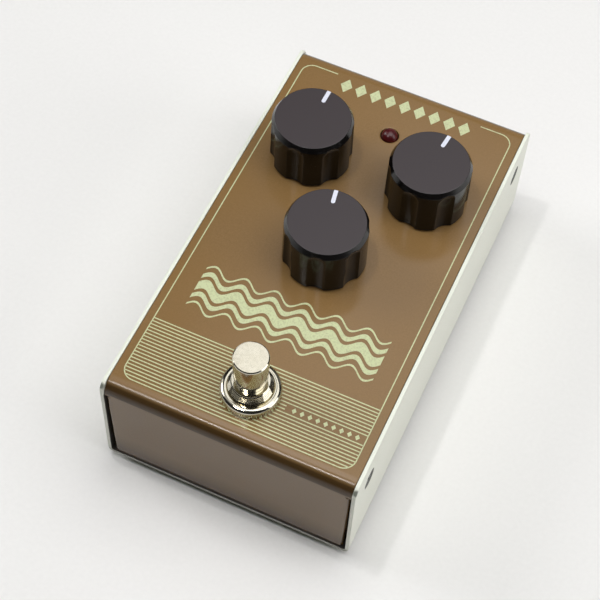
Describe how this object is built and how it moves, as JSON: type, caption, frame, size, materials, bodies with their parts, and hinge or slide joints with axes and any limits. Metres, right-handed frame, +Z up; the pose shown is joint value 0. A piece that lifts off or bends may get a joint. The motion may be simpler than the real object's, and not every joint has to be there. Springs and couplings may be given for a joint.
{
  "type": "analog delay effects pedal",
  "caption": "Compact effects pedal in a folded two-piece case with three fluted knobs, an indicator lamp, a footswitch, rear jacks and a power socket.",
  "frame": {"origin": "on the ground under the middle of the overall outline, rear jacks included (1.5 mm behind the centre of the base)", "axes": "+X to the player's right, +Y to the rear where the jacks are, +Z up"},
  "size_m": [0.072, 0.1302, 0.0565],
  "materials": {
    "brown_paint": "satin",
    "pale_paint": "satin",
    "screw_chrome": "polished",
    "zinc_steel": "satin",
    "foot_rubber": "matte",
    "knob_black": "gloss",
    "pointer_white": "gloss",
    "pot_metal": "satin",
    "shaft_metal": "satin",
    "wafer_brown": "matte",
    "tinned_metal": "satin",
    "lamp_red": "gloss",
    "black_plastic": "matte",
    "switch_nickel": "polished",
    "switch_plastic": "matte",
    "board_green": "satin",
    "cable_grey": "satin",
    "can_aluminium": "satin",
    "film_red": "gloss",
    "trimmer_blue": "satin",
    "rotor_white": "satin",
    "contact_brass": "satin"
  },
  "bodies": {
    "housing": {"cover": "brown_paint", "base": "pale_paint", "side_screws": "screw_chrome", "captive_nuts": "zinc_steel", "feet": "foot_rubber", "pot_case_left": "pot_metal", "pot_case_right": "pot_metal", "pot_case_centre": "pot_metal", "pot_nuts": "zinc_steel", "pot_washers": "zinc_steel", "pot_lock_washers": "zinc_steel", "pot_wafers": "wafer_brown", "pot_pins": "tinned_metal", "led_lens": "lamp_red", "led_leads": "tinned_metal", "led_spacer": "black_plastic", "switch_frame": "switch_nickel", "switch_dress_nut": "switch_nickel", "switch_lock_nut": "zinc_steel", "switch_lock_washer": "zinc_steel", "switch_housing": "switch_plastic", "switch_spring": "zinc_steel", "switch_lugs": "tinned_metal", "switch_board": "board_green", "switch_cable": "cable_grey", "main_board": "board_green", "chip_bodies": "black_plastic", "chip_leads": "tinned_metal", "capacitor_cans": "can_aluminium", "capacitor_seats": "black_plastic", "film_capacitors": "film_red", "chip_resistors": "black_plastic", "power_chips": "black_plastic", "trimmer_bodies": "trimmer_blue", "jack_board": "board_green", "input_jack_body": "black_plastic", "output_jack_body": "black_plastic", "jack_contacts": "contact_brass", "jack_nuts": "zinc_steel", "jack_washers": "zinc_steel", "power_socket_body": "black_plastic", "power_socket_pin": "contact_brass", "power_socket_legs": "tinned_metal", "jack_cable": "cable_grey"},
    "knob_left_set": {"knob_left": "knob_black", "pointer_left": "pointer_white", "pot_rotor_left": "shaft_metal"},
    "knob_right_set": {"knob_right": "knob_black", "pointer_right": "pointer_white", "pot_rotor_right": "shaft_metal"},
    "knob_centre_set": {"knob_centre": "knob_black", "pointer_centre": "pointer_white", "pot_rotor_centre": "shaft_metal"},
    "switch_plunger": {"switch_cap": "switch_nickel"},
    "trimmer_a_set": {"trimmer_rotor_a": "rotor_white"},
    "trimmer_b_set": {"trimmer_rotor_b": "rotor_white"}
  },
  "joints": [
    {"name": "knob_left_turn", "type": "hinge", "parent": "housing", "child": "knob_left_set", "pos_m": [-0.0175, 0.0265, 0.0388], "axis": [0, 0, -1], "range_deg": [-151, 149]},
    {"name": "knob_right_turn", "type": "hinge", "parent": "housing", "child": "knob_right_set", "pos_m": [0.0175, 0.0265, 0.0388], "axis": [0, 0, -1], "range_deg": [-156, 144]},
    {"name": "knob_centre_turn", "type": "hinge", "parent": "housing", "child": "knob_centre_set", "pos_m": [0, -0.0035, 0.0388], "axis": [0, 0, -1], "range_deg": [-139.5, 160.5]},
    {"name": "switch_press", "type": "slide", "parent": "housing", "child": "switch_plunger", "axis": [0, 0, -1], "range_m": [0, 0.0022], "stiffness_N_per_m": 4000, "springref_m": -0.002, "deforming": ["switch_spring"]},
    {"name": "trimmer_a_turn", "type": "hinge", "parent": "housing", "child": "trimmer_a_set", "pos_m": [-0.0075, 0.01168, 0.023], "axis": [0, 0, -1], "range_deg": [-130, 130]},
    {"name": "trimmer_b_turn", "type": "hinge", "parent": "housing", "child": "trimmer_b_set", "pos_m": [0.0075, 0.01168, 0.023], "axis": [0, 0, -1], "range_deg": [-130, 130]}
  ]
}
